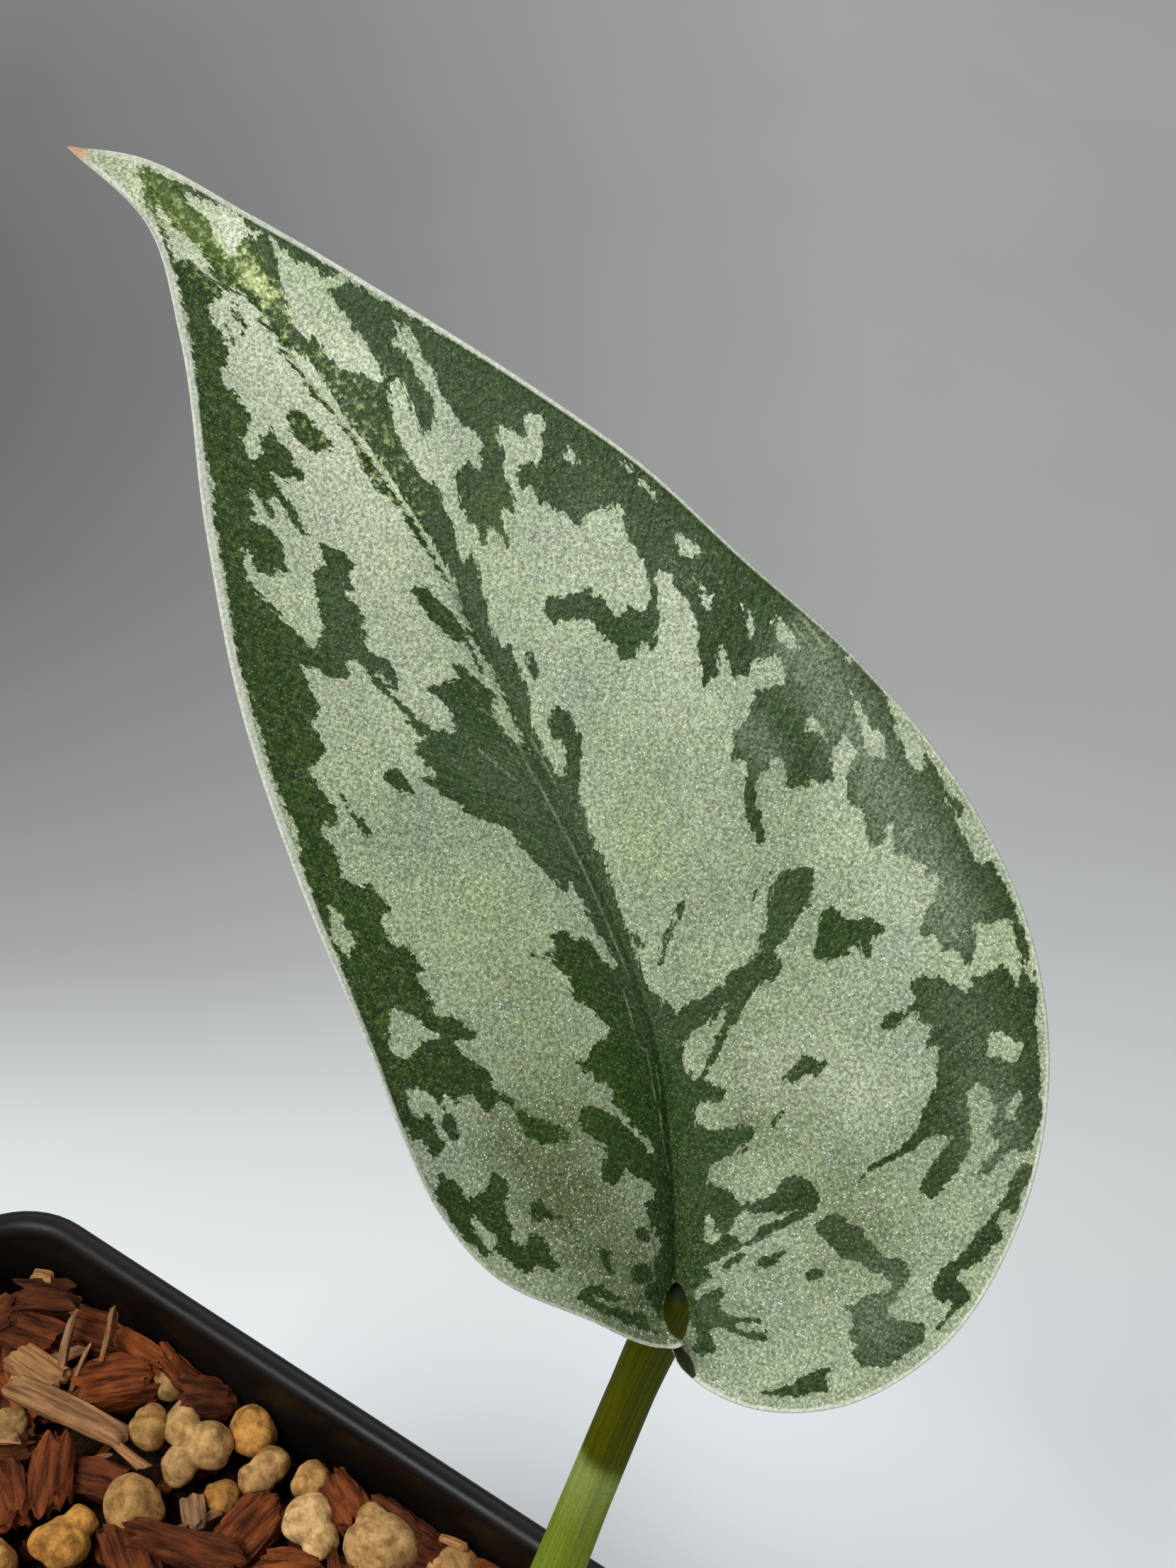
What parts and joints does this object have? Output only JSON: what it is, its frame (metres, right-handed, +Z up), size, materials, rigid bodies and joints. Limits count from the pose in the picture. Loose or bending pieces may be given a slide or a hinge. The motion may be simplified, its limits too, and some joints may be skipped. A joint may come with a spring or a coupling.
{
  "type": "potted scindapsus",
  "caption": "Rooted cutting with one silver-marked, oblique heart-shaped leaf on a channelled stalk, standing in bark and clay mix in a square black nursery pot.",
  "frame": {"origin": "centre of the pot's flat base, on the surface that it stands on", "axes": "+Z up; the pot's sides lie along X and Y; the leaf leans over the +Y side and its tip points to -X"},
  "size_m": [0.0951, 0.1191, 0.1822],
  "materials": {
    "pot_plastic": "black moulded plastic, satin",
    "bark_and_clay": "red-brown bark chips with tan clay granules and pale fibres",
    "vine": "olive green stem with tan roots",
    "stalk": "bright green, olive at the bend under the blade",
    "leaf": "satin silver with deep green marks, pale green below"
  },
  "bodies": {
    "root": {"pot": "pot_plastic", "growing_mix": "bark_and_clay", "stem": "vine", "petiole": "stalk", "leaf_blade": "leaf"}
  },
  "joints": []
}
